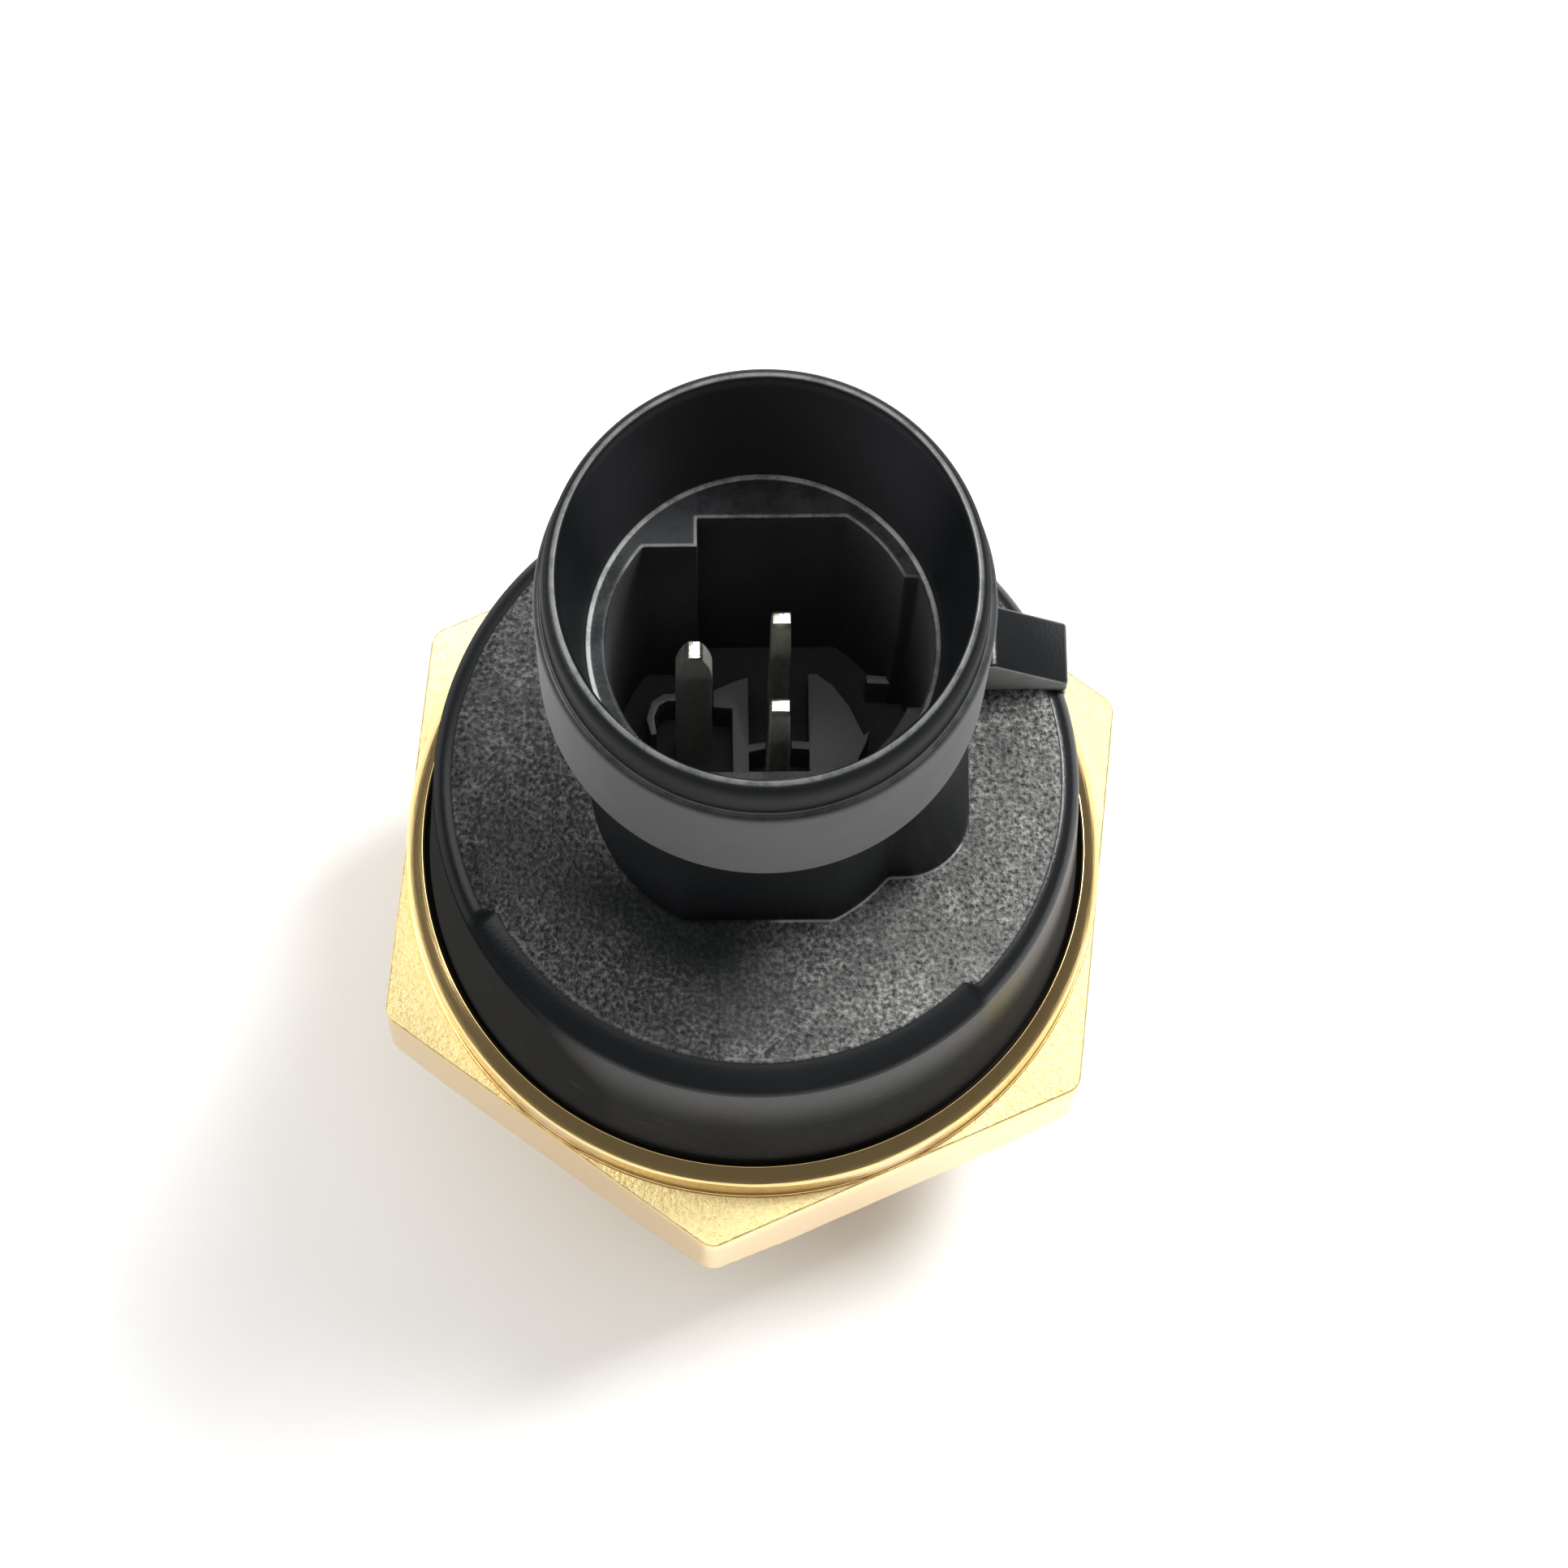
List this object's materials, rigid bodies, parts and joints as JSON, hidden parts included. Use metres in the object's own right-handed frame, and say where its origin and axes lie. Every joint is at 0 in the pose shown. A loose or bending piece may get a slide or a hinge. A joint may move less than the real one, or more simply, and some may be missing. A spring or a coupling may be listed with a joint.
{
  "type": "pressure switch",
  "caption": "Hex-bodied brass pressure switch with a threaded port, a rolled rim and a black moulded round connector socket with blade terminals.",
  "frame": {"origin": "middle of the threaded end's face, where the thread axis meets it", "axes": "+Z along the switch axis from the threaded end to the connector mouth; +X towards the connector's keyway"},
  "size_m": [0.0336, 0.0362, 0.0591],
  "materials": {
    "brass": "turned and rolled brass, satin",
    "sintered_bronze": "porous sintered bronze",
    "black_plastic": "moulded glass-filled nylon, fine grain",
    "base_resin": "moulded phenolic",
    "seal_rubber": "moulded rubber",
    "film": "amber polyimide film",
    "steel": "stamped and turned steel",
    "spring_steel": "bright spring steel",
    "pin_ceramic": "ground ceramic",
    "leaf_bronze": "rolled phosphor bronze",
    "silver_contact": "silver alloy",
    "tinned_terminal": "tin-flashed brass blade",
    "sealant": "cured potting resin"
  },
  "bodies": {
    "switch_body": {"port_body": "brass", "port_seal_ring": "seal_rubber", "inlet_snubber": "sintered_bronze", "diaphragm_seal": "seal_rubber", "diaphragm": "film", "guide_plate": "steel", "snap_disc": "spring_steel", "disc_retainer": "steel", "contact_base": "base_resin", "arm_rivet": "steel", "closed_contact": "silver_contact", "open_contact": "silver_contact", "common_terminal": "tinned_terminal", "open_terminal": "tinned_terminal", "closed_terminal": "tinned_terminal", "terminal_sealant": "sealant", "housing_seal": "seal_rubber", "connector_housing": "black_plastic"},
    "piston_and_pin": {"pressure_piston": "steel", "push_pin": "pin_ceramic"},
    "switch_arm": {"contact_arm": "leaf_bronze", "moving_contact": "silver_contact"}
  },
  "joints": [
    {"name": "piston_slide", "type": "slide", "parent": "switch_body", "child": "piston_and_pin", "axis": [0, 0, 1], "range_m": [0, 0.00045], "stiffness_N_per_m": 2000, "springref_m": -0.0002, "deforming": ["snap_disc", "diaphragm"]},
    {"name": "arm_hinge", "type": "hinge", "parent": "switch_body", "child": "switch_arm", "pos_m": [-0.0065, 0, 0.02275], "axis": [0, -1, 0], "range_deg": [0, 4], "stiffness_Nm_per_rad": 0.02}
  ],
  "couplings": [
    {"joint": "arm_hinge", "follows": "piston_slide", "rad_per_m": 153.85}
  ]
}
